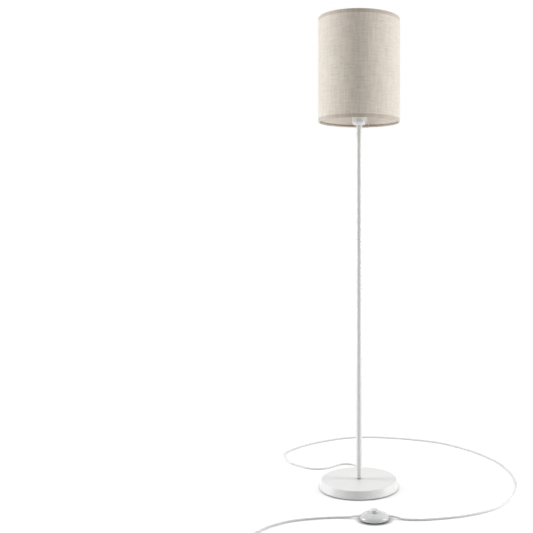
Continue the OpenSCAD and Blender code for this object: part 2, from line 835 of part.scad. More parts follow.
module switch_cover() {
    color("white") translate(switch_at) difference() {
        union() {
            difference() {
                dome_solid(switch_r, dome_rise, cover_z);
                dome_solid(switch_r - switch_wall, dome_rise - switch_wall, 0);
            }
            intersection() {
                dome_solid(switch_r - over, dome_rise - over / 2, plate_top);
                union() {
                    translate([0, 0, plate_top]) switch_bosses(switch_boss_d, dome_rise + switch_side);
                    translate([0, 0, collar_z])
                        cylinder(d = button_d + 2 * slip + 2 * guide_t, h = dome_rise);
                }
            }
        }
        cylinder(d = button_d + 2 * slip, h = switch_side + dome_rise + over);
        translate([0, 0, plate_z]) switch_bosses(switch_screw_d, switch_screw_l);
        for (x = [-1, 1])
            rod([x * (bush_x - over), 0, entry_z], [x * (switch_r + over), 0, entry_z], stub_d);
    }
}

module switch_bushes() {
    color("white") translate(switch_at) for (x = [-1, 1]) difference() {
        union() {
            rod([x * bush_x, 0, entry_z], [x * switch_r, 0, entry_z], stub_d);
            translate([x * switch_r, 0, entry_z]) rotate([0, x * 90, 0])
                cylinder(d1 = stub_d, d2 = relief_tip_d, h = stub_l);
        }
        rod([x * (bush_x - over), 0, entry_z], [x * (stub_end + over), 0, entry_z], cord_d);
    }
}

module switch_clamps() {
    color("white") translate(switch_at) at_saddles(entry_z + cord_r)
        cube([saddle_size[0], saddle_size[1], clamp_t]);
}

module switch_leads() {
    color("whitesmoke") translate(switch_at) for (x = [-1, 1])
        rod([x * sheath_end, 0, entry_z], [x * stub_end, 0, entry_z], cord_d);
}

// One core is cut and goes to the contacts, and the other runs round the mechanism
module switch_cores() {
    side_x = 14;
    side_y = -15;
    low_z = plate_top + 1;
    apart = 1.2;
    screw_z = plate_top + contact_t + terminal_screw[1] / 2;
    color("sienna") translate(switch_at) {
        for (x = [-1, 1]) {
            rod([x * sheath_end, apart, entry_z],
                [x * (terminal_screw_x + terminal_screw[0] / 2), apart / 2, screw_z], wire_d);
            rod([x * sheath_end, -apart, entry_z], [x * side_x, side_y, low_z], wire_d);
            translate([x * side_x, side_y, low_z]) sphere(d = wire_d + bead);
        }
        rod([-side_x, side_y, low_z], [side_x, side_y, low_z], wire_d);
    }
}

module switch_contacts() {
    color("gold") translate(switch_at) contact_bars(0);
}

// Two flat bars that reach into the mechanism, over and under what they are by some more
module contact_bars(more) {
    inner = cell_d / 2 - contact_in;
    outer = terminal_screw_x + terminal_screw[0] / 2;
    for (a = [0, 180]) rotate(a)
        translate([inner, -contact_w / 2, plate_top - more])
            cube([outer - inner, contact_w, contact_t + more]);
}

module switch_terminals() {
    color("silver") translate(switch_at) for (x = [-1, 1])
        translate([x * terminal_screw_x, 0, plate_top + contact_t])
            cylinder(d = terminal_screw[0], h = terminal_screw[1]);
}

// The body of the mechanism, which guides the button's stem
module switch_cell() {
    color([0.2, 0.2, 0.2]) translate(switch_at) difference() {
        translate([0, 0, plate_top]) cylinder(d = cell_d, h = cell_h);
        translate([0, 0, stem_z - button_travel - slip])
            cylinder(d = stem_d + 2 * slip, h = cell_h);
        contact_bars(over);
    }
}

module switch_spring() {
    color("silver") translate(switch_at) translate([0, 0, cell_top])
        tube(spring_d, spring_d - 2 * spring_wire, button_top - button_wall - cell_top);
}

module switch_button() {
    r = button_d / 2;
    top = button_top;
    color("white") translate(switch_at) {
        difference() {
            rotate_extrude() {
                translate([0, lip_z]) square([r, top - button_edge_r - lip_z]);
                translate([0, lip_z]) square([r - button_edge_r, top - lip_z]);
                translate([r - button_edge_r, top - button_edge_r]) circle(button_edge_r);
                translate([0, lip_z]) square([r + lip_w, lip_h]);
            }
            translate([0, 0, lip_z - over])
                cylinder(r = r - button_wall, h = top - button_wall - lip_z + over);
        }
        translate([0, 0, stem_z]) cylinder(d = stem_d, h = top - button_wall - stem_z);
    }
}

// ---- Cord, coil and plug ----

module cord_to_switch() {
    color("whitesmoke") sweep(curve(ROUTE_TO_SWITCH, cord_spacing), cord_d, cord_sides);
}

module cord_from_switch() {
    color("whitesmoke") sweep(curve(ROUTE_FROM_SWITCH, cord_spacing), cord_d, cord_sides);
}

module cord_to_plug() {
    color("whitesmoke") sweep(curve(ROUTE_TO_PLUG, cord_spacing), cord_d, cord_sides);
}

module cord_coil() {
    color("whitesmoke") sweep(COIL, cord_d, coil_sides);
}

// Two straps that hold the coil's turns together
module coil_ties() {
    inner = sqrt(pow(coil_in_r - coil_step / 4 - cord_r, 2) - pow(tie_w / 2, 2)) - tie_slack;
    outer = coil_out_r + cord_r + tie_slack;
    size = [outer - inner, cord_d + coil_step + tie_slack];
    color([0.2, 0.2, 0.2]) for (a = [60, 300])
        translate([coil_at[0], coil_at[1], 0]) rotate(a)
            translate([inner - tie_t, tie_w / 2, 0]) rotate([90, 0, 0])
                linear_extrude(tie_w) difference() {
                    round_rect([size[0] + 2 * tie_t, size[1] + 2 * tie_t], 2 + tie_t);
                    translate([tie_t, tie_t]) round_rect(size, 2);
                }
}

module plug_relief() {
    color("white") translate(plug_at) rotate([0, 90, 0]) difference() {
        cylinder(d1 = relief_tip_d, d2 = plug_root_d, h = relief_l);
        for (i = [1 : 4]) translate([0, 0, relief_l * i / 5])
            tube(plug_root_d + over, groove_d, groove_w);
    }
}

// Flat plug, wide at the face and drawn in towards the cord
module plug_body() {
    taper_l = 0.45 * plug_l;
    edge_r = 4.5;
    color("white") translate(plug_at) translate([relief_l, 0, 0]) difference() {
        intersection() {
            rotate([90, 0, 90]) linear_extrude(plug_l)
                translate([-plug_w / 2, -plug_t / 2]) round_rect([plug_w, plug_t], edge_r);
            translate([0, 0, -plug_t]) linear_extrude(2 * plug_t)
                drawn_in(plug_root_d + 2, plug_w, taper_l);
            rotate([90, 0, 0]) translate([0, 0, -plug_w]) linear_extrude(2 * plug_w)
                drawn_in(plug_root_d, plug_t, taper_l);
        }
        for (y = [-1, 1]) translate([plug_l - pin_root, y * pin_pitch / 2, 0])
            rotate([0, 90, 0]) cylinder(d = pin_neck_d, h = pin_root + over);
    }
}

// An outline that widens from one width to another over length l, and then lets all pass
module drawn_in(from, to, l) {
    polygon([[0, -from / 2], [l, -to / 2], [l, -to], [plug_l + over, -to],
             [plug_l + over, to], [l, to], [l, to / 2], [0, from / 2]]);
}

module plug_pins() {
    bare_l = pin_l / 2;
    point_h = 1;
    color("silver") for (y = [-1, 1])
        translate(plug_at) translate([relief_l + plug_l, y * pin_pitch / 2, 0])
            rotate([0, 90, 0]) {
                translate([0, 0, -pin_root])
                    cylinder(d = pin_neck_d, h = pin_root + bare_l + over);
                translate([0, 0, bare_l]) cylinder(d = pin_d, h = bare_l - point_h);
                translate([0, 0, pin_l - point_h])
                    cylinder(d1 = pin_d, d2 = pin_neck_d - point_h / 2, h = point_h);
            }
}

module plug_sleeves() {
    color([0.15, 0.15, 0.15]) for (y = [-1, 1])
        translate(plug_at) translate([relief_l + plug_l, y * pin_pitch / 2, 0])
            rotate([0, 90, 0]) tube(sleeve_d, pin_neck_d, pin_l / 2);
}

base_pad();
base_weight();
base_cover();
base_washer();
base_nut();
base_nipple();
cord_gland();
cord_clamp();
clamp_screws();
inner_lead();
foot_ring();
pole_section(0);  // pole_lower
pole_section(1);  // pole_middle
pole_section(2);  // pole_upper
pole_bushes();
pole_nipples();
top_nipple();
holder_cap();
holder_skirt();
holder_core();
terminal_screws();
lead_cores();
screw_shell();
centre_contact();
lock_ring();
spider();
rim_wire(shade_z + roll_r);  // bottom_wire
rim_wire(shade_top - roll_r);  // top_wire
shade_liner();
shade_fabric();
bulb_contact();
bulb_insulator();
bulb_cap();
bulb_housing();
bulb_board();
bulb_globe();
switch_pad();
switch_plate();
switch_screws();
switch_cover();
switch_bushes();
switch_clamps();
switch_leads();
switch_cores();
switch_contacts();
switch_terminals();
switch_cell();
switch_spring();
switch_button();
cord_to_switch();
cord_from_switch();
cord_coil();
coil_ties();
cord_to_plug();
plug_relief();
plug_body();
plug_pins();
plug_sleeves();
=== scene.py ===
# %% [markdown]
# # Dressing a column floor lamp
#
# The construction of this lamp is fixed before we start: every tube, screw and shell comes in
# at its real size, and none of them is moved here. What is left is what the eye judges first:
# the linen of the shade, the gloss of the powder coat, the soft white lead on the floor, and
# the light of a white studio. We work in metres, with the floor at z = 0 and the pole on z.

import math

import bmesh
import bpy
from mathutils import Matrix, Vector


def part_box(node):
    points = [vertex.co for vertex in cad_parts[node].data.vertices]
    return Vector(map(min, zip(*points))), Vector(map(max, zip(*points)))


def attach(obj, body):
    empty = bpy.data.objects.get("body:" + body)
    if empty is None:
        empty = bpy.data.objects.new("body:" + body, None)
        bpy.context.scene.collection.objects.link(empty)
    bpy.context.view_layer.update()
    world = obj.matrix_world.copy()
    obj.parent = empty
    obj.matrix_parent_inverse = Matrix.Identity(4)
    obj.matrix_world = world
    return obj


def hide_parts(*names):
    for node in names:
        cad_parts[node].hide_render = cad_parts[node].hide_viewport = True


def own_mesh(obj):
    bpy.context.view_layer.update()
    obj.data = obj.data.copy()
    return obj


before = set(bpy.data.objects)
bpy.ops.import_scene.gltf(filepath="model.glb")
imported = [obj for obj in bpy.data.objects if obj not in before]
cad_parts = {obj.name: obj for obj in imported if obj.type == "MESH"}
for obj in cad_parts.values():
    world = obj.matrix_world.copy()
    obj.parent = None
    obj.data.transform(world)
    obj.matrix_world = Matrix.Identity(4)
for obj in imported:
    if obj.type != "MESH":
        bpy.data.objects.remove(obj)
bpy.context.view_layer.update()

# %% [markdown]
# ## The camera
#
# A lamp like this is photographed level, from a little over its middle, so that the pole stays
# upright. A level camera would put the horizon in the middle of the picture; a lens that is
# shifted, and not tilted, frames the whole lamp and keeps its verticals parallel. The shift is
# given as a share of the picture's width.

# %% Camera
EYE_HEIGHT = 0.710
EYE_DISTANCE = 2.12
SENSOR, FOCAL = 36, 53.12           # in millimetres, as lenses are
SHIFT = (-0.1736, -0.0811)

lens = bpy.data.cameras.new("studio_lens")
lens.sensor_width, lens.lens = SENSOR, FOCAL
lens.shift_x, lens.shift_y = SHIFT
camera = bpy.data.objects.new("studio_camera", lens)
camera.location = (0, -EYE_DISTANCE, EYE_HEIGHT)
camera.rotation_euler = (math.radians(90), 0, 0)
bpy.context.collection.objects.link(camera)
bpy.context.scene.camera = camera
print("camera at", tuple(round(v, 3) for v in camera.location))

# %% [markdown]
# ## The lead on the floor
#
# A mains lead has one length and lies under its own weight, so it is drawn as one smooth line
# through a few listed points, and given its thickness afterwards. The line is a Catmull-Rom
# curve: it passes through every point, and leaves each one in the direction of its two
# neighbours. It is never let below half its own thickness, which is where the floor is.

# %% A smooth line through chosen points
LEAD = 0.005                # the lead's diameter
LYING = LEAD / 2            # height of its middle when it lies on the floor


def smooth_line(route, spacing=0.004):
    """Points about every so many metres along a Catmull-Rom curve through the route."""
    points = [Vector(p) for p in route]
    line = []
    for i in range(len(points) - 1):
        a, b = points[max(i - 1, 0)], points[i]
        c, d = points[i + 1], points[min(i + 2, len(points) - 1)]
        steps = max(1, round((c - b).length / spacing))
        for t in (k / steps for k in range(steps)):
            p = 0.5 * (2 * b + (c - a) * t + (2 * a - 5 * b + 4 * c - d) * t ** 2
                       + (3 * b - a - 3 * c + d) * t ** 3)
            line.append(Vector((p.x, p.y, max(p.z, LYING))))
    return line + [points[-1]]


def length_of(line):
    """How long the line is, from point to point."""
    return sum((b - a).length for a, b in zip(line, line[1:]))


# %% [markdown]
# ## Where the lead lies
#
# From the soft gland in the back of the base the lead turns left, swings out behind the lamp in
# a wide loop, comes back on the right and meets the foot switch in front. These are the same
# points as in the construction, in metres.

# %% From the base to the foot switch
GLAND_START, GLAND_END = (0, 0.1063, 0.006), (0, 0.1313, 0.006)
SWITCH_RIGHT = (0.077, -0.229, 0.006)
SWITCH_LEFT = (-0.003, -0.229, 0.006)

TO_SWITCH = [
    GLAND_START, GLAND_END, (0, 0.147, 0.0046), (-0.003, 0.166, 0.0026),
    (-0.014, 0.184, LYING), (-0.032, 0.194, LYING), (-0.052, 0.191, LYING),
    (-0.070, 0.176, LYING), (-0.088, 0.157, LYING), (-0.112, 0.146, LYING),
    (-0.137, 0.149, LYING), (-0.163, 0.165, LYING), (-0.206, 0.209, LYING),
    (-0.228, 0.276, LYING), (-0.225, 0.308, LYING), (-0.210, 0.339, LYING),
    (-0.180, 0.378, LYING), (-0.140, 0.416, LYING), (-0.095, 0.447, LYING),
    (-0.050, 0.470, LYING), (0.020, 0.484, LYING), (0.110, 0.472, LYING),
    (0.170, 0.455, LYING), (0.225, 0.434, LYING), (0.275, 0.403, LYING),
    (0.325, 0.353, LYING), (0.365, 0.300, LYING), (0.398, 0.240, LYING),
    (0.420, 0.175, LYING), (0.431, 0.100, LYING), (0.429, 0.025, LYING),
    (0.414, -0.042, LYING), (0.384, -0.108, LYING), (0.335, -0.172, LYING),
    (0.255, -0.218, LYING), (0.168, -0.240, LYING), (0.126, -0.242, LYING),
    (0.103, -0.238, 0.0027), (0.088, -0.2315, 0.0049), SWITCH_RIGHT]
line_to_switch = smooth_line(TO_SWITCH)
print(f"base to switch {length_of(line_to_switch):.3f} m")

# %% [markdown]
# ## The coil
#
# The rest of the lead is put away out of the picture as a small coil, wound as a hand winds it:
# two turns in on the floor, half a turn that climbs, and out again on top. The radius falls and
# grows at a steady rate, and the height changes only in the turn where the spiral reverses.

# %% The coil's turns
COIL_AT = (-0.233, -0.383)
COIL_START = math.radians(150)
TURNS_IN, TURNS_CLIMB, TURNS_OUT = 2, 0.5, 1.75
COIL_TURNS = TURNS_IN + TURNS_CLIMB + TURNS_OUT
COIL_STEP = 0.0055          # from one turn to the next
COIL_OUTER = 0.033
COIL_INNER = COIL_OUTER - COIL_STEP * TURNS_IN
COIL_LOW = 0.00345          # a strap passes under the lowest turn
TURN_POINTS = 48
NUDGE = 0.001               # of a turn, to see which way the line heads


def eased(x):
    """0 up to 0, 1 from 1 on, and smooth between them."""
    x = min(1.0, max(0.0, x))
    return x * x * (3 - 2 * x)


def coil_point(t):
    """Where the lead's middle is after t turns."""
    angle = COIL_START + 2 * math.pi * t
    turn_back = TURNS_IN + TURNS_CLIMB / 2
    radius = COIL_INNER - COIL_STEP * TURNS_CLIMB / 2 + COIL_STEP * abs(t - turn_back)
    height = COIL_LOW + COIL_STEP * eased((t - TURNS_IN) / TURNS_CLIMB)
    return Vector((COIL_AT[0] + radius * math.cos(angle),
                   COIL_AT[1] + radius * math.sin(angle), height))


def coil_tail(t, distance):
    """A point straight on from turn t, by a distance."""
    heading = (coil_point(t + NUDGE) - coil_point(t - NUDGE)).normalized()
    p = coil_point(t) + distance * heading
    return Vector((p.x, p.y, max(p.z, LYING)))


coil_line = [coil_point(i / TURN_POINTS) for i in range(int(COIL_TURNS * TURN_POINTS) + 1)]
print(f"coil {length_of(coil_line):.3f} m in {COIL_TURNS} turns")

# %% From the foot switch to the plug
PLUG_TIP = (-0.142, -0.432, 0.00685)

FROM_SWITCH = [
    SWITCH_LEFT, (-0.011, -0.229, 0.0054), (-0.025, -0.228, 0.0034), (-0.045, -0.227, LYING),
    (-0.075, -0.229, LYING), (-0.105, -0.234, LYING), (-0.135, -0.241, LYING),
    (-0.162, -0.250, LYING), (-0.186, -0.265, LYING), (-0.211, -0.286, LYING),
    (-0.229, -0.310, LYING), (-0.243, -0.332, LYING), coil_tail(0, -0.022),
    coil_tail(0, -LEAD)]
TO_PLUG = [
    coil_tail(COIL_TURNS, LEAD), (-0.227, -0.423, 0.006), (-0.203, -0.430, 0.003),
    (-0.180, -0.432, LYING), (-0.162, -0.432, 0.0038), (-0.150, -0.432, 0.0061), PLUG_TIP]
line_to_plug = smooth_line(FROM_SWITCH) + coil_line + smooth_line(TO_PLUG)
print(f"switch to plug {length_of(line_to_plug):.3f} m")

# %% [markdown]
# ## Giving the line its thickness
#
# A curve object with a bevel is the simplest round cord: it keeps its middle line, so its
# length can be measured afterwards. Its thickness is the bevel's depth times the radius at
# each point. Blender takes the box round a curve from its points and their radius alone, so
# the depth is 1 and the radius is the lead's own: then that box is right too.

# %% Cords as curves with a bevel


def make_lead(name, line):
    """A round lead along the line, on the body that stands still."""
    curve = bpy.data.curves.new(name, "CURVE")
    curve.dimensions = "3D"
    curve.bevel_depth = 1
    curve.bevel_resolution = 4
    curve.use_fill_caps = True
    spline = curve.splines.new("POLY")
    spline.points.add(len(line) - 1)
    for point, place in zip(spline.points, line):
        point.co = (*place, 1)
        point.radius = LEAD / 2
    piece = bpy.data.objects.new(name, curve)
    bpy.context.collection.objects.link(piece)
    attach(piece, "root")
    return piece


lead_to_switch = make_lead("lead_to_switch", line_to_switch)
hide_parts("cord_to_switch")
lead_to_plug = make_lead("lead_to_plug", line_to_plug)
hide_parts("cord_from_switch", "cord_coil", "cord_to_plug")
print("leads made:", lead_to_switch.name, lead_to_plug.name)

# %% [markdown]
# ## Shader maths as Python
#
# Every finish below is a small graph of nodes. Wired by hand, a sum such as 0.2 + 0.1 * noise
# takes three nodes and four links, and its meaning is lost. So one class stands for the output
# of a node and knows what + and * mean, and another holds the material, with one method that
# makes any node: first its settings, then the values or links of its sockets.

# %% An output that can be calculated with


class Amount:
    """A node's output. Arithmetic on it adds Math nodes."""

    def __init__(self, nodes, socket):
        self.nodes, self.socket = nodes, socket

    def beside(self, output):
        """Another output of the same node."""
        return Amount(self.nodes, self.socket.node.outputs[output])

    def math(self, operation, *amounts):
        return self.nodes.node("Math", {"operation": operation}, dict(enumerate(amounts)))

    def __add__(self, other):
        return self.math("ADD", self, other)

    def __sub__(self, other):
        return self.math("SUBTRACT", self, other)

    def __rsub__(self, other):
        return self.math("SUBTRACT", other, self)

    def __mul__(self, other):
        return self.math("MULTIPLY", self, other)

    def __gt__(self, other):
        return self.math("GREATER_THAN", self, other)

    def __abs__(self):
        return self.math("ABSOLUTE", self)

    def sine(self):
        return self.math("SINE", self)

    def rise(self, low, high):
        """0 up to low, 1 from high on, and smooth between them."""
        return self.nodes.node("MapRange", {"interpolation_type": "SMOOTHSTEP"},
                               {"Value": self, "From Min": low, "From Max": high})

    __radd__, __rmul__ = __add__, __mul__


print("arithmetic on", Amount.__name__, "adds Math nodes")

# %% A material and its nodes


class Nodes:
    """A node tree, and the one method that adds a node to it."""

    def __init__(self, tree):
        self.tree = tree

    def node(self, kind, settings=None, inputs=None, output=0):
        new = self.tree.nodes.new("ShaderNode" + kind)
        for name, value in (settings or {}).items():
            setattr(new, name, value)
        self.feed(new, inputs or {})
        return Amount(self, new.outputs[output])

    def feed(self, node, inputs):
        for name, value in inputs.items():
            socket = node.inputs[name]
            if isinstance(value, Amount):
                self.tree.links.new(value.socket, socket)
            else:
                socket.default_value = (*value, 1) if socket.type == "RGBA" else value


class Finish(Nodes):
    """A material, with the patterns that its surface is made of."""

    def __init__(self, name, **fixed):
        self.material = bpy.data.materials.new(name)
        self.material.use_nodes = True
        super().__init__(self.material.node_tree)
        self.shader = self.tree.nodes["Principled BSDF"]
        self.give(**fixed)

    def give(self, **inputs):
        """Sockets of the shader, with _ for a space, so Base_Color is its Base Color."""
        self.feed(self.shader, {name.replace("_", " "): v for name, v in inputs.items()})

    def noise(self, lump, detail=1, stretch=(1, 1, 1), at=None):
        """Noise from 0 to 1 with lumps of that many metres, longer where stretch is more."""
        place = at or self.node("TexCoord", output="Object")
        scale = [1 / (lump * s) for s in stretch]
        scaled = self.node("Mapping", inputs={"Vector": place, "Scale": scale})
        return self.node("TexNoise", inputs={"Vector": scaled, "Scale": 1, "Detail": detail})

    def blend(self, mask, low, high):
        """The colour low where the mask is 0, high where it is 1."""
        return self.node("Mix", {"data_type": "RGBA"}, {0: mask, 6: low, 7: high}, output=2)

    def relief(self, height, depth):
        """Bends the light as a relief of that many metres would."""
        self.give(Normal=self.node("Bump", inputs={"Height": height, "Distance": depth}))


def dress(finish, *nodes):
    """Gives the finish to CAD nodes, whose shape stays as it is."""
    for name in nodes:
        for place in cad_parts[name].material_slots:
            place.material = finish.material
            dressed.add(name)


dressed = set()
print(sum(len(node.material_slots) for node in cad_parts.values()), "slots to fill")

# %% [markdown]
# ## Powder coat
#
# The base and the pole are steel, sprayed with a powder that melts in an oven. Such a coat is
# glossy and hard, but it never flows quite flat: it keeps low waves a millimetre or two long,
# the orange peel that breaks up long reflections. Where hands hold it, it is a little duller;
# here its gloss only wanders in clouds, at random.

# %% Gloss white on the base and the pole


def powder_coat(name, roughness, coat):
    """Gloss white enamel, with a faint cloud in its gloss and a low orange peel."""
    finish = Finish(name, Base_Color=(0.715, 0.715, 0.71), Coat_Roughness=0.12)
    finish.give(Roughness=roughness + 0.12 * finish.noise(0.03, detail=3),
                Coat_Weight=coat + 0.2 * finish.noise(0.05))
    finish.relief(finish.noise(0.0018, detail=1), 0.000014)
    return finish


dress(powder_coat("base_enamel", 0.32, 0.0), "base_cover")
dress(powder_coat("tube_enamel", 0.14, 0.3), "pole_lower", "pole_middle", "pole_upper")

coated_wire = Finish("coated_wire", Base_Color=(0.76, 0.76, 0.75))
coated_wire.give(Roughness=0.28 + 0.12 * coated_wire.noise(0.012, detail=2))
coated_wire.relief(coated_wire.noise(0.0009), 0.000012)
dress(coated_wire, "spider", "bottom_wire", "top_wire")
print("coated:", sorted(dressed))

# %% [markdown]
# ## White mouldings
#
# The lampholder comes from a polished mould and shines like a teacup. The foot switch and the
# plug are a shade greyer and gloss nearly as much, over a grain that is etched in their moulds
# so that scratches don't show. All of them are cooler than the powder coat, and thick plastic
# lets a little light in, which softens the edges: that is a low subsurface weight with a
# radius of a millimetre.

# %% Polished and etched white plastic
polished_white = Finish("polished_white", Base_Color=(0.71, 0.715, 0.72),
                        Subsurface_Weight=0.08, Subsurface_Radius=(0.001, 0.001, 0.001))
polished_white.give(Roughness=0.09 + 0.05 * polished_white.noise(0.02, detail=2))
polished_white.relief(polished_white.noise(0.004), 0.000012)
dress(polished_white, "holder_cap", "holder_skirt", "lock_ring")

etched_white = Finish("etched_white", Base_Color=(0.60, 0.602, 0.606), Specular_IOR_Level=0.7,
                      Subsurface_Weight=0.08, Subsurface_Radius=(0.001, 0.001, 0.001))
etched_white.give(Roughness=0.10 + 0.06 * etched_white.noise(0.015, detail=3))
etched_white.relief(etched_white.noise(0.0005, detail=2), 0.000006)
dress(etched_white, "switch_cover", "switch_button", "switch_plate", "switch_clamps",
      "plug_body")

bulb_white = Finish("bulb_white", Base_Color=(0.80, 0.80, 0.79))
bulb_white.give(Roughness=0.38 + 0.12 * bulb_white.noise(0.006, detail=2))
bulb_white.relief(bulb_white.noise(0.0006, detail=2), 0.00001)
dress(bulb_white, "bulb_housing")
print("mouldings added:", len(dressed), "nodes so far")

# %% [markdown]
# ## Soft white PVC
#
# The lead, the gland and the strain reliefs are soft PVC. A lead is drawn through a die, so its
# sheath has faint lines along it and hardly any gloss, and it picks up a little dust; here it
# gets low gloss, the dust and a fine even grain. It bends with the floor, so the pattern can
# stay on plain object coordinates.

# %% The lead's sheath and the soft reliefs
sheath = Finish("lead_sheath", Specular_IOR_Level=0.12, Subsurface_Weight=0.08,
                Subsurface_Radius=(0.0012, 0.0012, 0.001))
dust = sheath.noise(0.009, detail=4).rise(0.45, 0.75)
sheath.give(Base_Color=sheath.blend(dust, (0.75, 0.75, 0.745), (0.68, 0.68, 0.67)),
            Roughness=0.40 + 0.15 * dust)
sheath.relief(sheath.noise(0.0007, detail=2), 0.00002)
dress(sheath, "inner_lead", "switch_leads")
for lead in (lead_to_switch, lead_to_plug):
    lead.data.materials.append(sheath.material)

soft_white = Finish("soft_white", Base_Color=(0.78, 0.78, 0.775), Specular_IOR_Level=0.4)
soft_white.give(Roughness=0.42 + 0.15 * soft_white.noise(0.004, detail=3))
soft_white.relief(soft_white.noise(0.0006, detail=2), 0.00002)
dress(soft_white, "cord_gland", "switch_bushes", "plug_relief")
print("PVC added:", len(dressed), "nodes so far")

# %% [markdown]
# ## Metals
#
# Small fittings differ in how they were made. Turned brass has fine rings round its axis,
# zinc plate is cloudy with a bluish cast, nickel is smooth and warm, and the weight is a raw
# sand casting: grey, rough and pitted. They share one recipe, a metal whose roughness and
# colour wander, so one function makes them and the casting gets its own.

# %% Zinc, brass, nickel and steel


def metal(name, color, worn, roughness, lump):
    """A metal that wanders between two colours, with lumps of that many metres."""
    finish = Finish(name, Metallic=1.0)
    clouds = finish.noise(lump, detail=4)
    finish.give(Base_Color=finish.blend(clouds.rise(0.35, 0.65), color, worn),
                Roughness=roughness + 0.18 * clouds)
    finish.relief(finish.noise(0.0004, detail=3, stretch=(1, 1, 0.3)), 0.000008)
    return finish


zinc = metal("zinc_plate", (0.62, 0.64, 0.67), (0.50, 0.52, 0.55), 0.20, 0.004)
brass = metal("turned_brass", (0.72, 0.52, 0.22), (0.60, 0.42, 0.18), 0.16, 0.005)
nickel = metal("nickel_plate", (0.66, 0.63, 0.58), (0.58, 0.55, 0.50), 0.10, 0.006)
spring_steel = metal("spring_steel", (0.45, 0.46, 0.48), (0.36, 0.36, 0.37), 0.22, 0.003)
board_metal = metal("board_metal", (0.78, 0.78, 0.76), (0.70, 0.70, 0.69), 0.30, 0.005)
dress(zinc, "base_washer", "cord_clamp", "clamp_screws", "switch_screws", "switch_terminals")
dress(brass, "base_nut", "base_nipple", "pole_bushes", "pole_nipples", "top_nipple",
      "terminal_screws", "screw_shell", "centre_contact", "switch_contacts")
dress(nickel, "bulb_contact", "bulb_cap", "plug_pins")
dress(spring_steel, "switch_spring")
dress(board_metal, "bulb_board")
print("metals added:", len(dressed), "nodes so far")

# %% The cast weight
casting = Finish("sand_casting", Metallic=0.75)
grains = casting.noise(0.0012, detail=5)
rust = casting.noise(0.02, detail=5).rise(0.56, 0.72)
casting.give(Base_Color=casting.blend(rust, (0.055, 0.055, 0.06), (0.12, 0.07, 0.045)),
             Roughness=0.55 + 0.3 * grains)
casting.relief(grains, 0.0003)
dress(casting, "base_weight")
print("casting grain 1.2 mm")

# %% [markdown]
# ## Felt, rubber and dull plastics
#
# The pad under the base is pressed felt: short fibres in all directions, a little hairy at a
# low angle, which is what sheen is for. The ring under the switch is rubber. The ring at the
# pole's foot is a mid grey moulding, the straps round the coil are black, and the insulators
# are black, brown or the colour of ceramic. One function makes all these mouldings.

# %% Pressed felt and rubber
felt = Finish("pressed_felt", Sheen_Weight=0.4, Sheen_Roughness=0.6, Specular_IOR_Level=0.2)
fibres = felt.noise(0.0005, detail=5)
felt.give(Base_Color=felt.blend(fibres.rise(0.3, 0.7), (0.10, 0.10, 0.095), (0.17, 0.17, 0.16)),
          Roughness=0.88 + 0.10 * fibres)
felt.relief(fibres, 0.0003)
dress(felt, "base_pad")

rubber = Finish("grey_rubber", Specular_IOR_Level=0.35)
bloom = rubber.noise(0.004, detail=4)
rubber.give(Base_Color=rubber.blend(bloom, (0.045, 0.045, 0.048), (0.075, 0.075, 0.078)),
            Roughness=0.62 + 0.2 * bloom)
rubber.relief(rubber.noise(0.0005, detail=2), 0.00004)
dress(rubber, "switch_pad")
print("felt and rubber:", felt.material.name, rubber.material.name)

# %% Dull mouldings


def moulding(name, color, paler, roughness):
    """A dull plastic with a faint cloud in its colour and a fine etched grain."""
    finish = Finish(name, Specular_IOR_Level=0.4)
    cloud = finish.noise(0.006, detail=3)
    finish.give(Base_Color=finish.blend(cloud.rise(0.3, 0.7), color, paler),
                Roughness=roughness + 0.15 * cloud)
    finish.relief(finish.noise(0.0004, detail=2), 0.000015)
    return finish


dress(moulding("grey_ring", (0.38, 0.38, 0.385), (0.42, 0.42, 0.425), 0.30), "foot_ring")
dress(moulding("black_moulding", (0.012, 0.012, 0.012), (0.022, 0.022, 0.022), 0.32),
      "bulb_insulator", "switch_cell", "plug_sleeves")
dress(moulding("black_strap", (0.016, 0.016, 0.017), (0.03, 0.03, 0.03), 0.5), "coil_ties")
dress(moulding("pale_insulator", (0.60, 0.54, 0.43), (0.66, 0.60, 0.50), 0.42), "holder_core")
dress(moulding("brown_core", (0.13, 0.055, 0.025), (0.17, 0.075, 0.035), 0.4),
      "lead_cores", "switch_cores")
print("dull mouldings added:", len(dressed), "nodes so far")

# %% [markdown]
# ## The opal globe
#
# The bulb's globe is white from within: a milky plastic with a satin skin. It isn't lit in
# the photograph. A little subsurface light and a smooth coat are enough.

# %% Opal
opal = Finish("opal_globe", Base_Color=(0.86, 0.86, 0.84), Subsurface_Weight=0.25,
              Subsurface_Radius=(0.004, 0.004, 0.0035), Coat_Roughness=0.15)
opal.give(Roughness=0.30 + 0.10 * opal.noise(0.01, detail=2),
          Coat_Weight=0.2 + 0.1 * opal.noise(0.02))
opal.relief(opal.noise(0.003), 0.00002)
dress(opal, "bulb_globe")

# %% [markdown]
# ## The shade's fabric
#
# The shade is one strip of linen-look cloth, glued to a clear stiff liner, bent round and
# lapped at the back. Its top and bottom edges are rolled round a wire and tucked in between
# the wire and the wall. So the piece is made as the shop makes it: one profile through the
# cloth, from the upper tuck over the wire, down the wall and round the lower wire, then turned
# round the axis for a full turn and a lap.

# %% The cloth's measures
CLOTH = 0.0007              # thickness
TUCK = math.radians(285)    # how far an edge goes round its wire
LAP = 0.013

